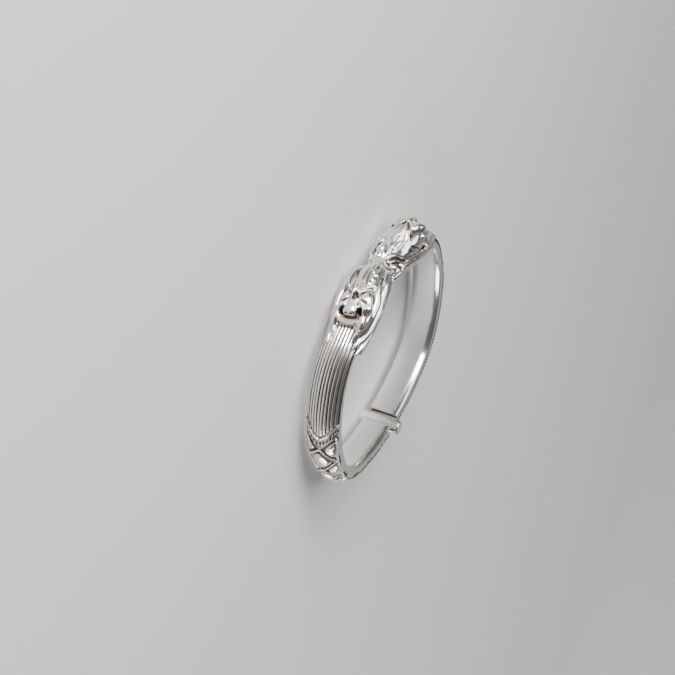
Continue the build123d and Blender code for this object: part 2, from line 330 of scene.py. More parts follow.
def cell_quads(inside, number):
    """Quads that join the four cells round each of the grid's edges that the skin crosses."""
    steps = np.eye(3, dtype=int)
    quads = []
    for axis in range(3):
        first = [slice(1, -1)] * 3
        second = [slice(1, -1)] * 3
        first[axis] = slice(0, -1)
        second[axis] = slice(1, None)
        a, b = inside[tuple(first)], inside[tuple(second)]
        u, v = steps[(axis + 1) % 3], steps[(axis + 2) % 3]
        for crossed, order in ((a & ~b, 1), (~a & b, -1)):
            at = np.argwhere(crossed) + 1 - steps[axis]
            around = [at - u - v, at - v, at, at - u][::order]
            quads.append(np.stack([number[tuple(cell.T)] for cell in around], axis=1))
    return np.concatenate(quads)


def recesses(field, step, cells, within):
    """How sunk the skin is at each of its points, against the field's mean around it."""
    shares = [np.where(corner, within, 1 - within).prod(axis=1) for corner in CORNERS]
    cavity = np.zeros(len(cells))
    for width, whole in RECESS_WIDTHS:
        soft = box_blur(np.clip(field, -width, width), max(int(round(width / step)), 1))
        around = sum(share * soft[tuple((cells + corner).T)] for share, corner in zip(shares, CORNERS))
        cavity = np.maximum(cavity, -around / whole)
    return cavity


def bell(along, middle, run):
    """Share that is whole at the middle and fades over the run to both sides."""
    return np.exp(-(((along - middle) / run) ** 2))


def skin(clay, lift):
    """Places and quads of the clay's skin, and how sunk each place is, which the material paints as shade;
    inside the mouth it is set to full painted shade. The lift raises the brows.
    """
    field = softened(np.clip(clay.field, -1, 1))
    cells, within, number = crossed_cells(field)
    quads = cell_quads(field < 0, number)
    places = relaxed(clay.low + clay.step * (cells + within), quads, SKIN_SMOOTHING)
    in_mouth = (((places - MOUTH_CENTRE) / MOUTH_REACH) ** 2).sum(axis=1) < 1
    places[:, 0] -= SLANT * places[:, 1] * bell(places[:, 0], SLANT_MIDDLE, SLANT_RUN)
    places[:, 1] = np.clip(places[:, 1] + skew(places[:, 0]), -HEAD_HALF, HEAD_HALF + HEAD_OVER)
    places[:, 2] *= 1 + lift * bell(places[:, 0], LIFT_MIDDLE, LIFT_RUN)
    cavity = recesses(field, clay.step, cells, within)[:, None]
    cavity = relaxed(cavity, quads, RECESS_SMOOTHING)[:, 0]
    # Inside the mouth the sinking is replaced by a value that the material paints as deep shade
    return places, quads, np.where(in_mouth, MOUTH_SHADE, cavity)


# Sections of the carved head under its locks and features
HEAD_SECTIONS = np.array([
    # along, half width of the arch, height of the arch, half width of the base
    (0.3, 2.9, 4.9, 3.7),
    (1.0, 3.3, 5.7, 4.0),
    (2.5, 3.8, 6.5, 4.4),
    (5.0, 4.3, 7.1, 4.8),
    (8.0, 4.7, 7.7, 5.2),
    (10.5, 5.0, 8.0, 5.6),
    (13.0, 5.1, 7.9, 5.6),
    (16.0, 4.9, 7.0, 5.4),
    (18.0, 4.7, 5.4, 5.3),
    (20.5, 4.6, 4.2, 5.2),
    (23.6, 4.2, 3.4, 4.5),
])
ARCH_POWER = 2.3
ARCH_SLOPE = 0.85
BASE_HEIGHT = 1.2
MANE_POWER = 2.6
MANE_SLOPE = 0.6
# Step from the crown's hair down to the brows
BROW_REACH = 13.1
BROW_SWEEP = 0.6
BROW_POWER = 1.3
BROW_EDGE = 0.1
DOME_STEP = 0.7
# Hair of the crown: locks and finer lines on each side, their mean level, and their heights
HAIR_LOCKS = 1.5
HAIR_LINES = 4.0
HAIR_MEAN = 0.7
HAIR_BROAD = 0.26
HAIR_FINE = 0.16
# The face sits to one side, a little slanted, and stands a little over the head's flank
SKEW = 0.6
SKEW_START = 9.0
SKEW_RUN = 6.0
SLANT = 0.16
SLANT_MIDDLE = 14.0
SLANT_RUN = 4.0
HEAD_OVER = 0.1
# The back head's crown is slimmer and higher, its far brow lower and its creases softer
BACK_SLIM = 0.7
SLIM_RUN = 6.0
BACK_LIFT = 0.155
LIFT_MIDDLE = 13.6
LIFT_RUN = 3.8
BACK_DROP = 0.5
BACK_CREASE = 0.6
# Inside of the mouth, given an even, deep painted shade
MOUTH_CENTRE = (16.9, 0, 5.0)
MOUTH_REACH = (1.45, 3.0, 2.2)
MOUTH_SHADE = 2.0


def section_at(along, slim):
    """Half width and height of the arch, and half width of the base, at places along the head."""
    width, height, base = [np.interp(along, HEAD_SECTIONS[:, 0], HEAD_SECTIONS[:, k]) for k in (1, 2, 3)]
    return width - slim * np.clip(along / SLIM_RUN, 0, 1), height, base


def arch_height(along, side, slim=0.0):
    """Height of the arch at a place."""
    width, height, _ = section_at(along, slim)
    return float(height * max(1 - (abs(side) / width) ** ARCH_POWER, 0) ** (1 / ARCH_POWER))


def on_crown(points, over, slim=0.0):
    """Control points of place along, to the side and radius, set at the crown's surface."""
    return [(s, z, arch_height(s, z, slim) + over, r) for s, z, r in points]


def mirrored(points, sign):
    """Control points put on one side of the head."""
    return [(s, sign * z, h, r) for s, z, h, r in points]


def mane_line(side):
    """Where the head ends: the chin in the middle, the mane's tips at the band's sides."""
    share = np.minimum(np.abs(side) / (BAND_HALF + SEAM), 1)
    return CHIN_REACH + (MANE_REACH - CHIN_REACH) * share**MANE_POWER


def skew(along):
    """How far the face and the mane's tips sit to one side, as the casting does."""
    return SKEW * np.clip((along - SKEW_START) / SKEW_RUN, 0, 1)


def brow_line(side):
    """Where the hair of the crown ends over the brows, farthest in the middle."""
    return BROW_REACH - BROW_SWEEP * np.abs(side) ** BROW_POWER


def hair_relief(s, z, width):
    """Swept locks of the crown: rounded ridges with narrow valleys, finer lines on each."""
    share = z / np.maximum(width, 1)
    bend = 0.45 * np.sin(0.42 * s) + 0.12 * np.sin(1.1 * s + 2.0 * share)
    locks = HAIR_LOCKS * pi * (share * (1 + 0.02 * s) + 0.3 * bend) + 0.9
    lines = HAIR_LINES * pi * (share + 0.32 * bend)
    broad = (np.sin(locks) ** 2 + 0.02) ** 0.35
    fine = (np.sin(lines) ** 2 + 0.03) ** 0.4
    fade = np.clip((s - HEAD_GAP / 2) / 2.0, 0, 1)
    return fade * (HAIR_BROAD * (broad - HAIR_MEAN) + HAIR_FINE * (fine - HAIR_MEAN))


def head_body(s, z, h, slim):
    """Arch of the head over its plain base, closed at the gap, at the bore and at the chin."""
    width, height, base = [values.reshape(s.shape) for values in section_at(s.ravel(), slim)]
    crest = 1 / (1 + np.exp((s - brow_line(z)) / BROW_EDGE))
    height = height + DOME_STEP * (crest - 0.5) + crest * hair_relief(s, z, width)
    arch = ((np.abs(z) / width) ** ARCH_POWER + (np.abs(h) / height) ** ARCH_POWER) ** (1 / ARCH_POWER)
    arch = (arch - 1) * np.minimum(width, height) * ARCH_SLOPE
    base_block = np.maximum(np.abs(z) - base, h - BASE_HEIGHT)
    both = soft_least(arch, base_block, 0.5)
    ends = np.maximum(HEAD_GAP / 2 - s, (s - mane_line(z)) * MANE_SLOPE)
    return -soft_least(soft_least(-both, h + 0 * both, 0.25), -ends, 0.6)


# Blocks of the brows and cheeks
BROWS_AND_CHEEKS = [
    # middle along, to the side, out; half sizes; corner, blend, turn, and share of the drop
    ((12.7, 2.25, 7.25), (1.45, 1.75, 1.15), 1.0, 0.3, 0.45, 0),
    ((14.7, 3.05, 6.75), (1.45, 1.75, 1.2), 1.1, 0.9, 0.25, 0),
    ((12.7, -1.9, 7.0), (1.45, 1.4, 1.1), 1.0, 0.3, -0.45, 1),
    ((14.7, -2.4, 6.6), (1.45, 1.3, 1.15), 1.1, 0.9, -0.25, 0),
]
# Lines of the face: control points of place along, to the side, out, and radius
EYE_SLIT = [(13.2, 1.4, 8.25, 0.12), (13.85, 2.3, 8.1, 0.21), (14.1, 3.6, 7.6, 0.14)]
FAR_EYE_DROP = 0.3
SNOUT_EDGE = [(12.9, 0.85, 8.5, 0.1), (14.0, 1.2, 8.35, 0.14), (15.4, 1.7, 7.9, 0.2)]
LIP_SIDE = [(15.6, 3.45, 6.1, 0.45), (16.8, 3.1, 5.8, 0.68), (17.75, 1.8, 5.5, 0.74)]
LIP_MIDDLE = (18.0, 0, 5.4, 0.76)
SLOT = [(13.4, 0, 8.3, 0.48), (12.6, -0.1, 7.8, 0.72), (11.5, -0.3, 8.4, 0.28)]
PARTING = [(12.6, 0.2, 8.4, 0.3), (11.9, 0.5, 8.5, 0.3), (11.0, 0.9, 8.5, 0.12)]
HAIR_EDGE = [
    (13.0, 0.7, 8.1, 0.32), (12.2, 1.3, 8.0, 0.38), (11.2, 2.3, 7.7, 0.38), (10.2, 3.2, 6.9, 0.34),
    (9.2, 3.9, 5.8, 0.28),
]
FAR_EDGE_THICK = 0.62
LIP_GROOVE = [(18.5, 0.4, 5.2, 0.16), (18.3, 1.7, 5.2, 0.28), (17.9, 2.8, 5.3, 0.16)]
JAW_GROOVE = [(14.3, 4.7, 5.6, 0.15), (15.3, 4.5, 6.0, 0.26), (16.9, 4.2, 6.1, 0.26), (18.6, 4.3, 5.2, 0.12)]


def jaws_and_brows(clay, drop):
    """Full jaws beside the mouth, the mouth's hollow, brows and cheeks."""
    for sign in (-1, 1):
        ball(clay, (16.7, sign * 3.5, 4.9), (2.6, 1.35, 1.6), 0.5, turn=-sign * 0.12)
    ball(clay, (16.9, 0, 6.9), (1.15, 2.45, 3.7), 0.25, cut=True)
    for (s, z, h), half, corner, blend, turn, falls in BROWS_AND_CHEEKS:
        block(clay, (s, z, h - falls * drop), half, corner, blend, turn)
    for sign in (-1, 1):
        ball(clay, (16.35, sign * 2.1, 7.4), (1.3, 0.75, 3.0), 0.25, cut=True)


def snout_and_eyes(clay):
    """Bridge and end of the snout, nostrils, eye slits and the snout's edges."""
    block(clay, (14.2, 0, 7.6), (2.4, 1.15, 1.0), 0.8, 0.3)
    block(clay, (15.9, 0, 7.3), (1.25, 1.6, 1.2), 0.9, 0.25)
    for sign in (-1, 1):
        ball(clay, (16.9, sign * 0.6, 7.7), (0.42, 0.34, 0.42), 0.1, cut=True)
        low = FAR_EYE_DROP if sign < 0 else 0
        strand(clay, [(s, z, h - low, r) for s, z, h, r in mirrored(EYE_SLIT, sign)], 0.08, cut=True)
        strand(clay, mirrored(SNOUT_EDGE, sign), 0.1, cut=True)


def face(clay, drop, crease):
    """Brows, snout with its nostrils, cheeks, open mouth and lips, and the lines between them.

    The drop lowers the far brow, and the crease scales the lines under the crown's hair."""
    jaws_and_brows(clay, drop)
    snout_and_eyes(clay)
    strand(clay, mirrored(LIP_SIDE, -1) + [LIP_MIDDLE] + mirrored(LIP_SIDE, 1)[::-1], 0.4)
    strand(clay, [(s, z, h, r * crease) for s, z, h, r in SLOT], 0.12, cut=True)
    strand(clay, [(s, z, h, r * crease) for s, z, h, r in PARTING], 0.1, cut=True)
    for sign, thick in ((-1, FAR_EDGE_THICK), (1, crease)):
        edge = [(s, z, h + 0.2 * (1 - thick), r * thick) for s, z, h, r in mirrored(HAIR_EDGE, sign)]
        strand(clay, edge, 0.1, cut=True)
    for sign in (-1, 1):
        strand(clay, mirrored(LIP_GROOVE, sign), 0.08, cut=True)
        strand(clay, mirrored(JAW_GROOVE, sign), 0.08, cut=True)


# Locks of the mane on each flank: control points of place along, to the side, out, and radius
MANE_LOCKS = [
    # from behind the brow down beside the mouth, its tip over the flutes
    [(7.2, 3.9, 6.0, 0.35), (9.4, 4.35, 5.7, 0.8), (11.6, 4.8, 5.2, 0.95), (14.0, 4.8, 4.7, 0.9),
     (16.4, 4.35, 4.3, 0.95), (18.4, 3.75, 4.0, 1.0), (20.2, 3.1, 4.1, 0.8), (21.8, 2.6, 4.1, 0.22)],
    # outside it, from the temple
    [(2.8, 3.9, 4.2, 0.4), (5.6, 4.5, 3.8, 0.7), (8.4, 4.9, 3.3, 0.75), (10.8, 5.15, 2.9, 0.75),
     (13.6, 5.2, 2.5, 0.75), (16.6, 4.9, 2.4, 0.8), (19.4, 4.45, 2.8, 0.85), (21.6, 3.8, 3.3, 0.6),
     (23.2, 3.3, 3.6, 0.16)],
    # lowest lock, that makes the outline
    [(0.9, 3.4, 2.4, 0.6), (4.0, 4.2, 2.1, 0.7), (8.0, 4.85, 1.7, 0.72), (11.6, 5.25, 1.3, 0.72),
     (15.0, 5.0, 1.1, 0.72), (18.4, 4.75, 1.3, 0.75), (21.4, 4.7, 1.8, 0.66), (23.9, 4.0, 2.5, 0.18)],
    # short lock swept up behind the crown's edge
    [(0.7, 2.9, 3.8, 0.5), (2.6, 3.6, 4.7, 0.62), (5.0, 4.1, 5.2, 0.6), (7.6, 4.4, 5.5, 0.2)],
]
# Pits between the locks
MANE_PITS = [
    [(8.4, 4.4, 5.0, 0.15), (9.6, 4.9, 4.5, 0.34), (10.8, 5.2, 4.0, 0.12)],
    [(20.0, 3.8, 4.1, 0.12), (21.3, 3.2, 4.4, 0.3), (22.2, 2.9, 4.4, 0.12)],
]
# Strands of a lock: shift and thickness, as shares of its radius
LOCK_STRANDS = [(-0.52, 0.58), (0.52, 0.58), (0.0, 0.66)]
LOCK_SWAY = 0.25
# First control point that each lock keeps on each flank, or that the lock is left out
LEFT_OUT = 9
FRONT_FIRSTS = {-1: (0, 0, 0, 0), 1: (0, 0, 0, 0)}
BACK_FIRSTS = {-1: (4, 0, 0, LEFT_OUT), 1: (4, 5, 0, LEFT_OUT)}


def lock(clay, points):
    """Lock of the mane: strands side by side that part and join again."""
    for shift, thick in LOCK_STRANDS:
        shifted = []
        for k, (s, z, h, r) in enumerate(points):
            over = shift * r * (1 + LOCK_SWAY * sin(1.7 * k))
            shifted.append((s, z + np.sign(z) * 0.75 * over, h - 0.75 * over, r * thick))
        strand(clay, shifted, 0.12)


# Fine grooves of the front head's crown: place along, to the side, and radius
FRONT_GROOVES = [
    [(2.4, -0.9, 0.1), (4.2, -0.6, 0.2), (5.6, -0.3, 0.26), (6.9, -0.2, 0.26), (8.4, 0.1, 0.1)],
    [(4.6, 0.5, 0.1), (5.6, 0.7, 0.17), (6.7, 0.9, 0.2), (8.1, 1.3, 0.09)],
    [(4.6, -2.4, 0.1), (6.0, -2.1, 0.17), (7.6, -1.5, 0.17), (9.4, -1.0, 0.09)],
    [(3.2, -3.0, 0.14), (5.2, -2.9, 0.26), (7.7, -2.05, 0.32), (9.9, -1.75, 0.32), (11.6, -1.4, 0.22)],
    [(1.8, 2.3, 0.1), (3.4, 2.8, 0.17), (5.2, 3.15, 0.2), (6.6, 3.1, 0.17), (7.9, 2.7, 0.09)],
    [(9.2, 0.2, 0.09), (10.3, 0.45, 0.16), (11.4, 0.55, 0.09)],
    [(8.6, 2.9, 0.09), (9.7, 2.3, 0.17), (10.9, 1.5, 0.09)],
    [(4.3, 1.3, 0.13), (3.7, 1.65, 0.2), (2.8, 1.9, 0.13)],
    [(4.2, 3.3, 0.12), (4.9, 3.5, 0.3), (5.5, 3.6, 0.12)],
    [(8.7, 1.6, 0.12), (8.9, 1.95, 0.22), (8.9, 2.2, 0.12)],
]
# Curl of hair: place along and to the side
CURL = [
    (5.0, 1.1), (5.2, 1.9), (5.9, 2.55), (6.9, 2.7), (7.3, 2.3), (6.9, 1.75), (6.2, 1.35), (5.6, 1.5),
    (5.5, 2.0),
]
CURL_RADIUS = 0.18
# Grooves at the far temple, and leaves beside the crown: place along, to the side, out, and radius
TEMPLE = [(9.6, -3.9, 5.6, 0.2), (10.8, -3.9, 5.4, 0.34), (12.1, -4.2, 5.2, 0.38), (14.1, -4.1, 5.0, 0.2)]
LEAVES = [
    [(4.4, -3.5, 5.9, 0.22), (6.2, -3.75, 6.2, 0.55), (8.2, -3.6, 6.8, 0.6), (10.2, -2.8, 7.6, 0.22)],
    [(7.8, -4.4, 5.7, 0.2), (9.4, -4.35, 6.2, 0.42), (10.8, -3.9, 6.6, 0.18)],
]
LEAF_GROOVE = [(9.6, -3.6, 7.2, 0.3), (10.6, -3.3, 7.2, 0.42), (11.6, -3.4, 6.8, 0.24)]


def front_trim(clay):
    """Grooves, a curl and dots in the hair of the front head's crown, and leaves beside it."""
    for points in FRONT_GROOVES:
        strand(clay, on_crown(points, 0.38), 0.06, cut=True)
    strand(clay, TEMPLE, 0.08, cut=True)
    strand(clay, on_crown([(s, z, CURL_RADIUS) for s, z in CURL], 0.4), 0.1)
    ball(clay, (9.8, 1.7, arch_height(9.8, 1.7) + 0.4), (0.2, 0.2, 0.4), 0.08, cut=True)
    for place_at in ((9.0, 3.7, 6.0), (8.0, 4.0, 5.0)):
        ball(clay, place_at, (0.34, 0.34, 0.34), 0.08, cut=True)
    for points in LEAVES:
        strand(clay, points, 0.12)
    strand(clay, LEAF_GROOVE, 0.1, cut=True)


# Forms of the back head's crown and flank: control points of place along, to the side, out, and radius
BACK_RIDGES = [
    # ridge of the leaf, up to its hooked tip
    [(9.7, 2.35, 8.05, 0.26), (9.2, 2.75, 7.35, 0.46), (8.2, 2.85, 6.85, 0.36), (6.9, 2.75, 6.45, 0.32),
     (5.3, 2.55, 6.15, 0.26), (4.4, 2.3, 6.1, 0.12)],
    # outer band of the volute
    [(0.9, 1.1, 5.6, 0.3), (1.8, 1.5, 5.95, 0.44), (2.8, 2.1, 5.8, 0.46), (4.2, 2.8, 5.15, 0.44),
     (5.7, 3.4, 3.9, 0.4), (6.8, 3.8, 2.6, 0.34), (7.4, 4.1, 1.4, 0.2)],
    # band inside it, which turns round the hole
    [(1.3, 2.25, 5.0, 0.24), (2.3, 2.75, 4.75, 0.32), (3.5, 3.3, 4.05, 0.34), (4.4, 3.75, 3.0, 0.34),
     (4.6, 3.95, 2.0, 0.32), (4.0, 4.0, 1.3, 0.32), (3.0, 3.9, 1.1, 0.3), (1.9, 3.7, 1.5, 0.26)],
    # leaf under the volute
    [(7.9, 4.3, 2.2, 0.16), (7.4, 4.4, 1.6, 0.4), (6.3, 4.3, 0.9, 0.4), (5.0, 4.2, 0.6, 0.2)],
]
BACK_GROOVES = [
    # round the leaf's hook, and under its ridge
    [(9.2, 1.9, 8.6, 0.18), (9.95, 2.4, 8.15, 0.3), (10.15, 2.95, 7.45, 0.42), (9.7, 3.3, 6.75, 0.34),
     (9.1, 3.3, 6.4, 0.14)],
    [(8.8, 3.15, 6.55, 0.14), (7.6, 3.1, 6.15, 0.24), (6.1, 2.9, 5.9, 0.22), (5.1, 2.8, 5.7, 0.12)],
    # between the volute's bands, and outside them
    [(1.2, 1.85, 5.45, 0.18), (2.3, 2.4, 5.3, 0.3), (3.6, 3.0, 4.7, 0.32), (4.8, 3.5, 3.7, 0.26),
     (5.3, 3.7, 3.1, 0.12)],
    [(1.3, 2.6, 4.65, 0.14), (2.6, 3.1, 4.15, 0.2), (3.7, 3.5, 3.3, 0.18)],
    [(5.6, 3.75, 3.6, 0.16), (6.1, 3.9, 2.6, 0.26), (6.7, 4.1, 1.6, 0.16)],
    # recesses of the flank
    [(9.4, 4.2, 5.0, 0.18), (10.6, 4.8, 4.3, 0.4), (11.9, 5.1, 3.6, 0.44), (13.0, 5.2, 3.0, 0.34)],
    [(8.0, 4.2, 4.7, 0.16), (8.9, 4.5, 4.1, 0.32), (9.8, 4.8, 3.5, 0.16)],
    [(5.5, 3.9, 4.7, 0.16), (6.8, 4.4, 3.7, 0.28), (8.0, 4.7, 3.0, 0.26), (9.2, 4.9, 2.5, 0.16)],
    [(12.0, 4.8, 5.0, 0.12), (13.0, 5.0, 4.7, 0.22), (14.0, 5.0, 4.3, 0.12)],
    # trench along the leaf's other edge
    [(9.4, -2.4, 8.0, 0.24), (7.2, -1.9, 7.6, 0.46), (5.7, -1.2, 7.7, 0.52), (3.9, -0.25, 7.2, 0.46),
     (2.4, 0.35, 6.6, 0.2)],
    [(3.6, -2.6, 6.2, 0.36), (2.9, -2.2, 6.1, 0.24)],
]
# Grooves that run up the crown: place along, to the side, and radius
BACK_LINES = [
    [(9.6, -1.1, 0.12), (10.6, -1.3, 0.24), (12.0, -1.5, 0.12)],
    [(10.0, 0.4, 0.1), (11.2, 0.5, 0.22), (12.6, 0.4, 0.1)],
    [(10.6, 1.6, 0.1), (11.8, 1.8, 0.22), (12.8, 1.7, 0.1)],
    [(5.2, 0.9, 0.08), (6.6, 1.0, 0.17), (8.2, 0.9, 0.08)],
    [(4.6, 0.0, 0.08), (6.4, -0.1, 0.17), (8.6, -0.6, 0.08)],
    [(7.2, -3.2, 0.16), (9.2, -3.4, 0.34), (11.3, -3.1, 0.16)],
    [(6.9, -3.8, 0.14), (8.8, -4.0, 0.32), (10.8, -3.8, 0.14)],
    [(10.4, -2.2, 0.14), (11.5, -2.7, 0.28), (12.4, -3.1, 0.14)],
]
# Rounded knobs: place along, to the side, out, and radius
BACK_KNOBS = [(14.2, 3.3, 7.3, 0.85), (16.9, 4.2, 5.6, 0.6), (14.5, 4.7, 5.2, 0.6), (1.3, 3.1, 3.5, 0.95)]
# Swellings of its flanks: middle along, to the side, out, and radii
BACK_SWELLS = [
    ((9.4, 3.2, 3.2), (4.0, 1.55, 2.6)),
    ((12.6, 3.6, 3.7), (4.4, 1.5, 2.4)),
    ((10.0, -2.5, 5.6), (3.2, 1.6, 1.9)),
]
# Dots of its crown: place along, to the side, and radius
BACK_DOTS = [(4.2, 1.5, 0.27), (2.3, 1.2, 0.22)]
# Open loops beside the leaf: middle along, to the side, out, and reach
BACK_LOOPS = [(6.4, -3.0, 6.6, 1.05), (3.9, -1.7, 6.5, 1.0), (1.9, -1.6, 5.7, 0.9), (1.6, -3.1, 4.2, 0.8)]
LOOP_WIRE = 0.28


def open_loop(clay, s, z, h, reach):
    """Wire bent into a loop round a hole."""
    ball(clay, (s, z, h + 0.3), (0.72 * reach, 0.6 * reach, 1.3), 0.08, cut=True, lean=0.6)
    points = []
    for turn in np.linspace(0, 2 * pi, 13):
        across = reach * sin(turn)
        points.append((s + reach * cos(turn), z - 0.8 * across, h - 0.5 * across, LOOP_WIRE))
    strand(clay, points, 0.06, count=3)


def back_trim(clay):
    """Leaf, volute and recesses of the back head, its open loops, and knobs beside the brow."""
    for middle, radii in BACK_SWELLS:
        ball(clay, middle, radii, 0.5)
    for *middle, radius in BACK_KNOBS:
        ball(clay, middle, (radius, radius, radius), 0.25)
    for points in BACK_RIDGES:
        strand(clay, points, 0.1)
    for points in BACK_GROOVES:
        strand(clay, points, 0.06, cut=True)
    for points in BACK_LINES:
        strand(clay, on_crown(points, 0.42, BACK_SLIM), 0.06, cut=True)
    # Hole in the volute
    ball(clay, (3.2, 3.9, 2.4), (0.55, 0.75, 0.6), 0.08, cut=True)
    for s, z, radius in BACK_DOTS:
        ball(clay, (s, z, arch_height(s, z, BACK_SLIM) + 0.4), (radius, radius, 0.5), 0.08, cut=True)
    for loop in BACK_LOOPS:
        open_loop(clay, *loop)


def carve_head(step, trim, slim, drop, crease, firsts):
    """Lion head: crown of hair, brows, snout, open mouth, lips, locks of the mane, and its own trim."""
    clay = Clay((-0.4, -6.6, -0.6), (25.0, 6.6, 9.8), step)
    clay.merge(lambda s, z, h: head_body(s, z, h, slim), (0, -6.4, -0.4), (24.6, 6.4, 9.6), 0.01)
    face(clay, drop, crease)
    for sign in (-1, 1):
        for points, first in zip(MANE_LOCKS, firsts[sign]):
            if first < len(points) - 1:
                lock(clay, mirrored(points[first:], sign))
        for points in MANE_PITS:
            strand(clay, mirrored(points, sign), 0.08, cut=True)
    trim(clay)
    # Flat where the head lies down, and the same on its other flank
    reach = np.abs(clay.axes[1])[None, :, None] - HEAD_HALF
    clay.field = np.maximum(clay.field, reach.astype(np.float32))
    return clay


# Bands, as closed tubes of rows across the band
BORE_WALL = [
    # reach from the band's middle, and height
    (BAND_HALF, 1.6),
    (BAND_HALF, 0.8),
    (BAND_HALF - 0.08, 0.22),
    (BAND_HALF - 0.3, 0.0),
    (BAND_HALF / 2, 0.0),
]
TUCK = 0.5
TUCK_RUN = 0.1
TUCK_SLIM = 0.03
TUCK_SINK = 0.12


def rim_line(side):
    """Where the flutes meet the collar."""
    return COLLAR_TIP - COLLAR_DEPTH * (np.abs(side) / BAND_HALF) ** 1.5


def lattice_line(side):
    """Where the collar meets the lattice: edges of the first diamonds."""
    return LATTICE_START - LATTICE_PITCH / 2 * np.abs(side) / BAND_HALF


def tube(rows, cavity):
    """Closed tube of triangles through rows of section points, capped at both ends."""
    count, columns = rows.shape[:2]
    points = rows.reshape(-1, 3)
    sunk = cavity.ravel()
    index = np.arange(count * columns).reshape(count, columns)
    here, ahead = index[:-1], index[1:]
    beside, across = np.roll(here, -1, axis=1), np.roll(ahead, -1, axis=1)
    faces = [
        np.stack([here, ahead, across], axis=-1).reshape(-1, 3),
        np.stack([here, across, beside], axis=-1).reshape(-1, 3),
    ]
    # The caps have corners of their own, so that the walls keep a sharp edge
    for row, order in ((rows[0], 1), (rows[-1], -1)):
        rim = len(points) + np.arange(columns)
        points = np.concatenate([points, row, [row.mean(axis=0)]])
        sunk = np.concatenate([sunk, np.zeros(columns + 1)])
        middle = np.full(columns, len(points) - 1)
        faces.append(np.stack([middle, *[rim, np.roll(rim, -1)][::order]], axis=-1))
    return points, np.concatenate(faces), sunk


def band_rows(start_line, end_line, relief, columns, rows, tuck=0.0):
    """Band between two lines: its outer face raised by a relief and given the relief's painted shade, its
    side walls and its bore.

    The outer face goes on under both neighbours by the tuck."""
    under = np.array(BORE_WALL + [(0.0, 0.0)] + [(-side, height) for side, height in BORE_WALL[::-1]])
    sides = np.linspace(-BAND_HALF, BAND_HALF, columns)
    result = []
    sunk = []
    for share in np.linspace(0, 1, rows):
        first, last = start_line(sides) - tuck, end_line(sides) + tuck
        along = first + (last - first) * share
        raised, painted_shade = relief(along, sides)
        past = np.maximum(start_line(sides) - along, along - end_line(sides))
        hidden = np.clip(past / TUCK_RUN, 0, 1)
        height = crown(sides) + raised - TUCK_SINK * hidden
        top = np.stack([along, sides * (1 - TUCK_SLIM * hidden), height], axis=1)
        first, last = start_line(under[:, 0]), end_line(under[:, 0])
        bottom = np.stack([first + (last - first) * share, under[:, 0], under[:, 1]], axis=1)
        result.append(np.concatenate([top, bottom]))
        sunk.append(np.concatenate([painted_shade, np.zeros(len(bottom))]))
    return np.array(result), np.array(sunk)


def flute_relief(along, side):
    """Round lengthwise wires, each a little uneven, with painted shade in the valleys between them."""
    wire_width = 2 * BAND_HALF / FLUTE_COUNT
    sway = 0.05 * np.sin(along * 0.45 + 2.0 * np.sin(side * 1.9)) * (1 - (side / BAND_HALF) ** 2)
    at = (side + sway + BAND_HALF) / wire_width
    wire = np.clip(np.floor(at), 0, FLUTE_COUNT - 1)
    across = np.clip(2 * (at - wire) - 1, -1, 1)
    round_top = (1 - np.abs(across) ** 2.3) ** (1 / 2.3)
    uneven = 0.05 * np.sin(wire * 2.4 + 1.0) + 0.03 * np.sin(along * 0.3 + wire * 1.7)
    # Second value: painted shade in the valleys between the wires
    return FLUTE_DEPTH * (round_top - 1) + uneven, 0.75 * (1 - round_top) ** 0.8


# Collar: its rim's wire, the wires below it, and its rows of beads and dots
RIM_WIRE = 0.34
COLLAR_WIRES = [
    # place down the collar, and radius
    (1.1, 0.19),
    (2.5, 0.17),
    (3.22, 0.17),
]
COLLAR_BEADS = [
    # pitch, place down the collar, radius, and share of the height
    (0.98, 1.8, 0.37, 1.25),
    (0.45, 2.86, 0.15, 1.2),
]
COLLAR_SINK = 0.06


def wire_over(distance, radius):
    """Height of a round wire over the line that it lies along."""
    return np.sqrt(np.maximum(radius**2 - distance**2, 0))


def collar_relief(along, side):
    """Raised rim, wires, a row of beads between them and a fine line of dots, with painted shade on the low
    ground between them.
    """
    down = along - rim_line(side) - 0.1 * np.abs(side) / BAND_HALF
    reach = np.abs(side)
    run = np.sign(side) * np.hypot(reach, 0.85 * COLLAR_DEPTH * (reach / BAND_HALF) ** 1.5)
    forms = [wire_over(down - RIM_WIRE, RIM_WIRE) + RIM_WIRE * (np.abs(down - RIM_WIRE) < RIM_WIRE)]
    for at, radius in COLLAR_WIRES:
        forms.append(wire_over(down - at, radius) * 2)
    for pitch, at, radius, share in COLLAR_BEADS:
        beside = ((run / pitch + 0.5) % 1 - 0.5) * pitch
        forms.append(wire_over(np.hypot(beside, down - at), radius) * share)
    raised = np.maximum.reduce(forms)
    # Second value: painted shade where the collar is low
    return raised - COLLAR_SINK, 0.8 * np.clip(1 - raised / 0.25, 0, 1)


# Lattice: its pillows, the ridges between them, and the beads of its ropes and edges
PILLOW_POWER = 3.2
PILLOW_REACH = 0.8
PILLOW_HEIGHT = 0.85
RIDGE_HEIGHT = 0.16
RIDGE_HALF = 0.3
ROPE_PITCH = 6.05
HAMMER_DEPTH = 0.05
LATTICE_SINK = 0.05
ROPE_BEADS = 9
ROPE_BEAD = 0.3
ROPE_INSET = 0.25
EDGE_BEAD = 0.38
EDGE_INSET = 0.2
EDGE_PITCH = 0.8
BEAD_RISE = 0.18


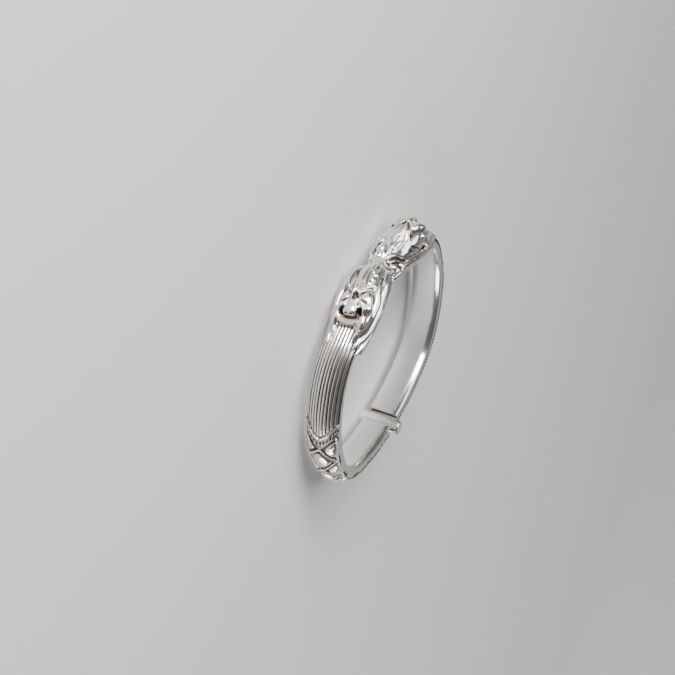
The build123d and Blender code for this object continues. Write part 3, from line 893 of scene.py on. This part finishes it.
def lattice_relief(along, side):
    """Rounded pillows between crossed low ridges, softly hammered, with painted shade on the low ground
    between them.
    """
    across = side / (2 * BAND_HALF)
    ahead = (along - LATTICE_START) / LATTICE_PITCH
    first = (ahead + across) % 1
    second = (ahead - across) % 1
    powers = np.abs(2 * first - 1) ** PILLOW_POWER + np.abs(2 * second - 1) ** PILLOW_POWER
    rim = powers ** (1 / PILLOW_POWER) / PILLOW_REACH
    pillow = PILLOW_HEIGHT * np.sqrt(np.clip(1 - rim**3, 0, 1))
    rope_gap = np.minimum(0.5 - np.abs(first - 0.5), 0.5 - np.abs(second - 0.5)) * ROPE_PITCH
    ridge = RIDGE_HEIGHT * np.clip(1 - rope_gap / RIDGE_HALF, 0, 1)
    hammer = HAMMER_DEPTH * np.sin(along * 6.1 + 2 * np.sin(side * 4.3))
    hammer = hammer * np.sin(side * 5.3 + 1.7 * np.sin(along * 3.9))
    raised = np.maximum(pillow + hammer * (pillow > 0.3), ridge)
    # Second value: painted shade where the lattice is low
    return raised - LATTICE_SINK, 0.7 * np.clip(1 - raised / 0.2, 0, 1)


def bead_centres():
    """Beads along the lattice's crossed lines and both its edges, each with a radius."""
    beads = []
    for cell, half, towards, k in product(range(LATTICE_CELLS), range(2), (-1, 1), range(ROPE_BEADS)):
        share = (k + 0.5) / ROPE_BEADS
        across = share if half == 0 else 1 - share
        along = LATTICE_START + LATTICE_PITCH * (cell + (half + share) / 2)
        beads.append((along, towards * across * (BAND_HALF - ROPE_INSET), ROPE_BEAD))
    edge_start = LATTICE_START - LATTICE_PITCH / 2 + EDGE_PITCH / 2
    edge_run = LATTICE_END - LATTICE_START + LATTICE_PITCH / 2 - EDGE_PITCH
    edge_count = int(LATTICE_PITCH * LATTICE_CELLS / EDGE_PITCH)
    for towards, k in product((-1, 1), range(edge_count)):
        along = edge_start + edge_run * (k + 0.5) / edge_count
        beads.append((along, towards * (BAND_HALF - EDGE_INSET), EDGE_BEAD))
    return [(s, z, float(crown(min(abs(z), BAND_HALF))) + BEAD_RISE, r) for s, z, r in beads]


def ball_mesh(columns, rows):
    """Unit ball of triangles."""
    points = [(0, 0, 1)]
    for j, i in product(range(1, rows), range(columns)):
        tilt, turn = pi * j / rows, 2 * pi * i / columns
        points.append((sin(tilt) * cos(turn), sin(tilt) * sin(turn), cos(tilt)))
    points.append((0, 0, -1))
    faces = []
    for i in range(columns):
        beside = (i + 1) % columns
        faces.append((0, 1 + i, 1 + beside))
        for j in range(rows - 2):
            a, b = 1 + j * columns + i, 1 + j * columns + beside
            faces.append((a, a + columns, b + columns))
            faces.append((a, b + columns, b))
        last = 1 + (rows - 2) * columns
        faces.append((last + i, len(points) - 1, last + beside))
    return np.array(points, dtype=float), np.array(faces)


def with_balls(points, faces, sunk, balls):
    """The same mesh with balls set into it, each with painted shade on its lower side."""
    ball_points, ball_faces = ball_mesh(columns=10, rows=6)
    all_points, all_faces, all_sunk = [points], [faces], [sunk]
    count = len(points)
    for s, z, h, radius in balls:
        all_points.append(ball_points * radius + (s, z, h))
        all_faces.append(ball_faces[:, ::-1] + count)
        # Painted shade on the lower side of each ball
        all_sunk.append(0.55 * np.clip(0.1 - ball_points[:, 2], 0, 1))
        count += len(ball_points)
    return np.concatenate(all_points), np.concatenate(all_faces), np.concatenate(all_sunk)


# Material
BRIGHT_COLOUR = (0.8, 0.785, 0.76, 1)
# Painted shade: its colour in the recesses, a browner painted shade for the deepest hollows, how much noise
# breaks it into patches, and the sinkings over which each fades in
PAINTED_SHADE_COLOUR = (0.072, 0.054, 0.043, 1)
HOLLOW_SHADE_COLOUR = (0.36, 0.265, 0.215, 1)
SHADE_PATCH_DEPTH = 0.24
SHADE_START = 0.19
SHADE_END = 0.42
HOLLOW_SHADE_START = 1.4
HOLLOW_SHADE_END = 1.9
SMOOTH = 0.16
ROUGH = 0.55


def node(tree, kind, **values):
    """Node of a kind, with its settings."""
    made = tree.nodes.new(kind)
    for key, value in values.items():
        setattr(made, key, value)
    return made


def noise(tree, vector, scale, detail):
    """Noise over the band's own coordinates."""
    made = node(tree, "ShaderNodeTexNoise")
    made.inputs["Scale"].default_value = scale
    made.inputs["Detail"].default_value = detail
    tree.links.new(vector, made.inputs["Vector"])
    return made.outputs["Fac"]


def mapped(tree, value, start, end, low, high):
    """Value taken from one range to another and held at its ends."""
    made = node(tree, "ShaderNodeMapRange")
    made.inputs["From Min"].default_value = start
    made.inputs["From Max"].default_value = end
    made.inputs["To Min"].default_value = low
    made.inputs["To Max"].default_value = high
    tree.links.new(value, made.inputs["Value"])
    return made.outputs["Result"]


def silver_material(name):
    """Polished silver, with painted shade darkening its recesses and a browner painted shade in its deepest
    hollows.
    """
    material = bpy.data.materials.new(name)
    material.use_nodes = True
    tree = material.node_tree
    tree.nodes.clear()
    out = node(tree, "ShaderNodeOutputMaterial")
    shader = node(tree, "ShaderNodeBsdfPrincipled")
    tree.links.new(shader.outputs["BSDF"], out.inputs["Surface"])
    sunk = node(tree, "ShaderNodeAttribute", attribute_name="cavity").outputs["Fac"]
    flow = node(tree, "ShaderNodeAttribute", attribute_name="flow").outputs["Vector"]
    # Painted shade in the recesses, made uneven in patches by noise
    uneven = node(tree, "ShaderNodeMath", operation="MULTIPLY_ADD")
    uneven.inputs[1].default_value = SHADE_PATCH_DEPTH
    tree.links.new(noise(tree, flow, 1.3, 4.0), uneven.inputs[0])
    tree.links.new(sunk, uneven.inputs[2])
    # Share of painted shade, rising with how sunk the surface is
    painted_shade = mapped(tree, uneven.outputs["Value"], SHADE_START, SHADE_END, 0.0, 1.0)
    # Browner painted shade in the deepest hollows, where the metal is also made less metallic
    hollow_shade = mapped(tree, sunk, HOLLOW_SHADE_START, HOLLOW_SHADE_END, 0.0, 1.0)
    colour = node(tree, "ShaderNodeMix", data_type="RGBA")
    colour.inputs[6].default_value = BRIGHT_COLOUR
    colour.inputs[7].default_value = PAINTED_SHADE_COLOUR
    tree.links.new(painted_shade, colour.inputs[0])
    hollow = node(tree, "ShaderNodeMix", data_type="RGBA")
    hollow.inputs[7].default_value = HOLLOW_SHADE_COLOUR
    tree.links.new(hollow_shade, hollow.inputs[0])
    tree.links.new(colour.outputs[2], hollow.inputs[6])
    tree.links.new(hollow.outputs[2], shader.inputs["Base Color"])
    tree.links.new(mapped(tree, hollow_shade, 0.0, 1.0, 1.0, 0.25), shader.inputs["Metallic"])
    tree.links.new(mapped(tree, painted_shade, 0.0, 1.0, SMOOTH, ROUGH), shader.inputs["Roughness"])
    # Fine scratches and a faint unevenness of the cast skin
    bump = node(tree, "ShaderNodeBump")
    bump.inputs["Strength"].default_value = 0.12
    bump.inputs["Distance"].default_value = 0.0001
    tree.links.new(noise(tree, flow, 5.0, 5.0), bump.inputs["Height"])
    tree.links.new(bump.outputs["Normal"], shader.inputs["Normal"])
    return material


# Pieces
def new_object(name, data):
    """Object of the data, put in the scene."""
    thing = bpy.data.objects.new(name, data)
    bpy.context.scene.collection.objects.link(thing)
    return thing


def mesh_object(name, points, faces, cavity, flow):
    """Smooth mesh with two attributes: how sunk each point is, which the material paints as shade, and its
    place along, to the side and out.
    """
    mesh = bpy.data.meshes.new(name)
    mesh.vertices.add(len(points))
    mesh.vertices.foreach_set("co", points.astype(np.float32).ravel())
    mesh.loops.add(faces.size)
    mesh.loops.foreach_set("vertex_index", faces.ravel().astype(np.int32))
    mesh.polygons.add(len(faces))
    mesh.polygons.foreach_set("loop_start", np.arange(0, faces.size, faces.shape[1], dtype=np.int32))
    mesh.polygons.foreach_set("use_smooth", np.ones(len(faces), dtype=bool))
    mesh.update(calc_edges=True)
    mesh.validate()
    sunk = mesh.attributes.new("cavity", "FLOAT", "POINT")
    sunk.data.foreach_set("value", cavity.astype(np.float32))
    where = mesh.attributes.new("flow", "FLOAT_VECTOR", "POINT")
    where.data.foreach_set("vector", flow.astype(np.float32).ravel())
    return new_object(name, mesh)


def show(name, node_name, points, faces, sunk, hand):
    """Piece of one half, in place of its solid; the far half is mirrored."""
    world = place(points[:, 0], points[:, 1], points[:, 2], hand)
    thing = mesh_object(name, world, faces[:, ::hand], sunk, points)
    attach(thing, "root")
    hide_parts(node_name)
    thing.data.materials.append(silver)


silver = silver_material("silver")
CLAY_STEP = 0.118
front_clay = carve_head(CLAY_STEP, front_trim, 0.0, 0.0, 1.0, FRONT_FIRSTS)
back_clay = carve_head(CLAY_STEP, back_trim, BACK_SLIM, BACK_DROP, BACK_CREASE, BACK_FIRSTS)
head_skins = {1: skin(front_clay, 0.0), -1: skin(back_clay, BACK_LIFT)}
flute_columns = 14 * FLUTE_COUNT + 1
flutes = band_rows(lambda side: mane_line(side - SKEW), rim_line, flute_relief, flute_columns, 90, TUCK)
collar = band_rows(rim_line, lattice_line, collar_relief, columns=181, rows=64)
lattice = band_rows(lattice_line, lambda side: LATTICE_END + 0 * side, lattice_relief, columns=61, rows=260)
bands = [
    ("fluted_band_", tube(*flutes)),
    ("collar_", tube(*collar)),
    ("lattice_band_", with_balls(*tube(*lattice), bead_centres())),
]
for hand, end in ((1, "front"), (-1, "back")):
    for name, form in [("lion_head_", head_skins[hand]), *bands]:
        show(name + end + "_look", name + end, *form, hand)

for thing in list(bpy.data.objects):
    if thing.type == "MESH" and not thing.hide_render and not thing.data.materials:
        thing.data.materials.append(silver)


# Camera, floor and light
def camera():
    """Camera of the photograph, shifted so that the ring's centre lies where it does there."""
    level = cos(CAMERA_RISE)
    back = Vector((sin(CAMERA_TURN) * level, -cos(CAMERA_TURN) * level, sin(CAMERA_RISE)))
    right = Vector((0, 0, 1)).cross(back).normalized()
    up = back.cross(right)
    rolled_right = right * cos(CAMERA_ROLL) + up * sin(CAMERA_ROLL)
    rolled_up = up * cos(CAMERA_ROLL) - right * sin(CAMERA_ROLL)
    data = bpy.data.cameras.new("camera")
    thing = new_object("camera", data)
    matrix = Matrix((rolled_right, rolled_up, back)).transposed().to_4x4()
    matrix.translation = Vector((0, CENTRE_SHIFT, MIDDLE_RISE)) * MM + back * CAMERA_DISTANCE * MM
    thing.matrix_world = matrix
    data.sensor_width = SENSOR
    data.lens = PIXELS_PER_MM * CAMERA_DISTANCE / IMAGE_SIDE * SENSOR
    data.shift_x = (IMAGE_SIDE / 2 - RING_CENTRE_PIXEL[0]) / IMAGE_SIDE
    data.shift_y = (RING_CENTRE_PIXEL[1] - IMAGE_SIDE / 2) / IMAGE_SIDE
    data.clip_start = 0.01
    data.clip_end = 10
    bpy.context.scene.camera = thing


def plain(name, colour, roughness):
    """Plain material of one colour."""
    material = bpy.data.materials.new(name)
    material.use_nodes = True
    shader = material.node_tree.nodes["Principled BSDF"]
    shader.inputs["Base Color"].default_value = (*colour, 1)
    shader.inputs["Roughness"].default_value = roughness
    return material


# Floor in metres, with a sweep up to a wall behind the bangle
FLOOR_MIDDLE = 0.4
FLOOR_REACH = 1.2
SWEEP_RADIUS = 0.5
SWEEP_STEPS = 10
WALL_TOP = 1.4
FLOOR_STEPS = 96


def floor():
    """Plain round floor, with a plain wall that it sweeps up to behind the bangle."""
    behind = CAMERA_TURN + pi / 2
    points = [(0.0, 0.0, 0.0)]
    rings = [(FLOOR_MIDDLE, 0.0), (FLOOR_REACH, 0.0)]
    for k in range(1, SWEEP_STEPS + 1):
        turn = k / SWEEP_STEPS * pi / 2
        rings.append((FLOOR_REACH + SWEEP_RADIUS * sin(turn), SWEEP_RADIUS * (1 - cos(turn))))
    rings.append((FLOOR_REACH + SWEEP_RADIUS, WALL_TOP))
    for reach, rise in rings:
        for k in range(FLOOR_STEPS):
            turn = behind + 2 * pi * k / FLOOR_STEPS
            points.append((reach * cos(turn), reach * sin(turn), rise))
    faces = [(0, 1 + k, 1 + (k + 1) % FLOOR_STEPS) for k in range(FLOOR_STEPS)]
    for number, k in product(range(len(rings) - 1), range(FLOOR_STEPS)):
        start = 1 + number * FLOOR_STEPS
        ahead = start + FLOOR_STEPS
        beside = (k + 1) % FLOOR_STEPS
        in_view = min(k, FLOOR_STEPS - k) < FLOOR_STEPS / 6
        if number == 0 or in_view:
            faces.append((start + k, ahead + k, ahead + beside, start + beside))
    mesh = bpy.data.meshes.new("floor")
    mesh.from_pydata(points, [], faces)
    mesh.polygons.foreach_set("use_smooth", [True] * len(mesh.polygons))
    mesh.materials.append(plain("floor", (0.66, 0.65, 0.64), 0.6))
    thing = new_object("floor", mesh)


def light(name, kind, towards, **values):
    """Light of a kind that shines in one direction, with its settings."""
    data = bpy.data.lights.new(name, kind)
    for key, value in values.items():
        setattr(data, key, value)
    thing = new_object(name, data)
    thing.rotation_euler = towards.to_track_quat("-Z", "Y").to_euler()
    return thing


floor()
light("sky", "SUN", Vector((0.28, 0.6, -0.75)), energy=2.8, angle=radians(55))
for name, x, y, z, side, power in (("key", 0.05, -0.5, 0.13, 0.2, 6.0), ("side", 0.5, 0.6, 0.14, 0.36, 4.0)):
    at = Vector((x, y, z))
    lamp = light(name, "AREA", Vector((0, 0, MIDDLE_RISE * MM)) - at, shape="SQUARE", size=side, energy=power)
    lamp.location = at
world = bpy.data.worlds.new("world")
world.use_nodes = True
background = world.node_tree.nodes["Background"]
background.inputs["Color"].default_value = (0.8, 0.8, 0.82, 1)
background.inputs["Strength"].default_value = 0.17
bpy.context.scene.world = world
camera()
